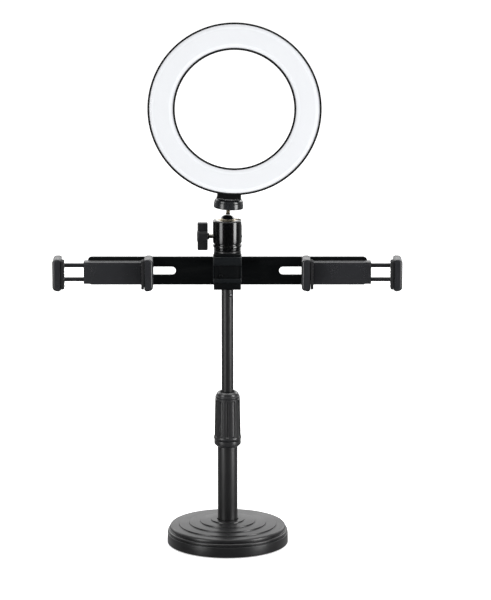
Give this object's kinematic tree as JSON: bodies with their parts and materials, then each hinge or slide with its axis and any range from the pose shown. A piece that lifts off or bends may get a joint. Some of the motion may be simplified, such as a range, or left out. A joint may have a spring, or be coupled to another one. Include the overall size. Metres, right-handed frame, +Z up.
{
  "type": "ring light",
  "caption": "Desk ring light on a mini ball head, over a crossbar with two sprung phone clamps, on a height-adjustable pole with a round weighted base.",
  "frame": {"origin": "centre of the base pad's underside, where the stand meets the desk", "axes": "+Z up along the pole, the lamp faces -Y, +X to the right of someone looking at the lamp's front"},
  "size_m": [0.3238, 0.1138, 0.4945],
  "materials": {
    "black_paint": "satin black powder coat",
    "black_plastic": "satin moulded black plastic",
    "gloss_black": "gloss black anodised aluminium",
    "steel": "polished nickel plate",
    "brass": "turned brass",
    "cast_iron": "raw cast iron",
    "rubber": "matte black rubber",
    "diffuser_white": "satin translucent white",
    "nylon_white": "natural nylon",
    "circuit_board": "white solder mask"
  },
  "bodies": {
    "base": {"base_shell": "black_paint", "base_weight": "cast_iron", "base_pad": "rubber", "base_bolt": "steel", "tube_plug": "brass", "lower_tube": "black_paint", "ferrule": "black_plastic", "collet": "nylon_white"},
    "grip": {"twist_grip": "black_plastic"},
    "slider": {"guide_bush": "nylon_white"},
    "mast": {"inner_tube": "black_paint", "tube_rivet": "steel", "tube_end_plug": "black_plastic", "bracket_block": "black_plastic", "bracket_clip": "black_plastic", "clip_screw": "steel", "crossbar": "black_paint", "bar_screw_left": "steel", "bar_screw_right": "steel", "head_flange": "gloss_black", "head_stud": "steel", "ball_housing": "gloss_black", "side_pin": "steel", "ball_seat": "nylon_white", "pressure_pad": "brass"},
    "ball_lock": {"lock_knob": "black_plastic", "lock_screw": "steel"},
    "ball_tilt": {"ball": "steel"},
    "platform": {"ball_stem": "steel", "platform": "gloss_black", "mount_stud": "steel"},
    "lock_ring": {"lock_ring": "black_plastic"},
    "lamp": {"back_shell": "black_plastic", "diffuser": "diffuser_white", "led_board": "circuit_board", "mount_foot": "black_plastic", "thread_insert": "brass", "foot_screw_left": "steel", "foot_screw_right": "steel", "cable_gland": "rubber"},
    "carriage_left": {"slot_washer_left": "steel"},
    "knob_left": {"clamp_knob_left": "black_plastic", "clamp_screw_left": "steel"},
    "clamp_left": {"clamp_body_left": "black_plastic", "clamp_cover_left": "black_plastic", "clamp_nut_left": "brass", "fixed_pad_left": "rubber", "clamp_spring_left": "steel"},
    "jaw_left": {"moving_jaw_left": "black_plastic", "moving_pad_left": "rubber"},
    "carriage_right": {"slot_washer_right": "steel"},
    "knob_right": {"clamp_knob_right": "black_plastic", "clamp_screw_right": "steel"},
    "clamp_right": {"clamp_body_right": "black_plastic", "clamp_cover_right": "black_plastic", "clamp_nut_right": "brass", "fixed_pad_right": "rubber", "clamp_spring_right": "steel"},
    "jaw_right": {"moving_jaw_right": "black_plastic", "moving_pad_right": "rubber"}
  },
  "joints": [
    {"name": "twist_lock", "type": "hinge", "parent": "base", "child": "grip", "pos_m": [0, 0, 0.12], "axis": [0, 0, 1], "range_deg": [0, 180]},
    {"name": "pole_slide", "type": "slide", "parent": "base", "child": "slider", "axis": [0, 0, 1], "range_m": [-0.05, 0.015]},
    {"name": "pole_turn", "type": "hinge", "parent": "slider", "child": "mast", "pos_m": [0, 0, 0.2], "axis": [0, 0, 1], "continuous": true},
    {"name": "ball_lock_turn", "type": "hinge", "parent": "mast", "child": "ball_lock", "pos_m": [-0.0169, 0, 0.294], "axis": [1, 0, 0], "range_deg": [-90, 180]},
    {"name": "head_tilt", "type": "hinge", "parent": "mast", "child": "ball_tilt", "pos_m": [0, 0, 0.3057], "axis": [1, 0, 0], "range_deg": [-35, 35]},
    {"name": "head_roll", "type": "hinge", "parent": "ball_tilt", "child": "platform", "pos_m": [0, 0, 0.3057], "axis": [0, 1, 0], "range_deg": [-38.55, 31.45]},
    {"name": "lock_ring_turn", "type": "hinge", "parent": "platform", "child": "lock_ring", "pos_m": [0, 0, 0.3057], "axis": [0.0619, 0, 0.9981], "continuous": true},
    {"name": "lamp_turn", "type": "hinge", "parent": "platform", "child": "lamp", "pos_m": [0, 0, 0.3057], "axis": [0.0619, 0, 0.9981], "continuous": true},
    {"name": "carriage_left_slide", "type": "slide", "parent": "mast", "child": "carriage_left", "axis": [1, 0, 0], "range_m": [-0.0025, 0.04]},
    {"name": "knob_left_turn", "type": "hinge", "parent": "carriage_left", "child": "knob_left", "pos_m": [-0.11525, 0, 0.26], "axis": [0, 1, 0], "range_deg": [-180, 180]},
    {"name": "clamp_left_turn", "type": "hinge", "parent": "carriage_left", "child": "clamp_left", "pos_m": [-0.11525, 0, 0.26], "axis": [0, 1, 0], "continuous": true},
    {"name": "jaw_left_slide", "type": "slide", "parent": "clamp_left", "child": "jaw_left", "axis": [-1, 0, 0], "range_m": [-0.012, 0.0141], "deforming": ["clamp_spring_left"]},
    {"name": "carriage_right_slide", "type": "slide", "parent": "mast", "child": "carriage_right", "axis": [1, 0, 0], "range_m": [-0.04, 0.0025]},
    {"name": "knob_right_turn", "type": "hinge", "parent": "carriage_right", "child": "knob_right", "pos_m": [0.11525, 0, 0.26], "axis": [0, 1, 0], "range_deg": [-180, 180]},
    {"name": "clamp_right_turn", "type": "hinge", "parent": "carriage_right", "child": "clamp_right", "pos_m": [0.11525, 0, 0.26], "axis": [0, 1, 0], "continuous": true},
    {"name": "jaw_right_slide", "type": "slide", "parent": "clamp_right", "child": "jaw_right", "axis": [1, 0, 0], "range_m": [-0.012, 0.0141], "deforming": ["clamp_spring_right"]}
  ]
}
